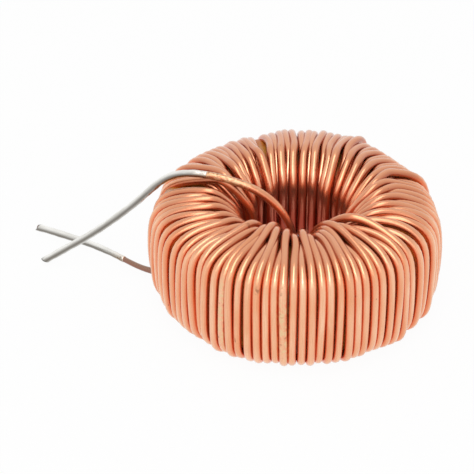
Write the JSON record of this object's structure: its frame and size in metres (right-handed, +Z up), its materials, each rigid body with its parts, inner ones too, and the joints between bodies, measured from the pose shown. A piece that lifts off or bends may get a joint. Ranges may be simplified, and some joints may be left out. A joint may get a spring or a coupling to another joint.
{
  "type": "toroidal inductor",
  "caption": "Ring core of coated iron powder, wound by hand in two layers with enamelled copper wire, with two tinned wire leads on one side.",
  "frame": {"origin": "on the plane the winding rests on, where the ring's axis meets it", "axes": "+Z up along the ring's axis; the two leads leave towards -X and a little towards +Y"},
  "size_m": [0.0503, 0.0355, 0.0156],
  "materials": {
    "core_ring": "pressed and baked iron powder",
    "core_coating": "smooth yellow epoxy coat",
    "winding": "copper under clear polyurethane enamel",
    "start_lead_tinning": "bright solder dip",
    "finish_lead_tinning": "bright solder dip"
  },
  "bodies": {
    "root": {"core_ring": "core_ring", "core_coating": "core_coating", "winding": "winding", "start_lead_tinning": "start_lead_tinning", "finish_lead_tinning": "finish_lead_tinning"}
  },
  "joints": []
}
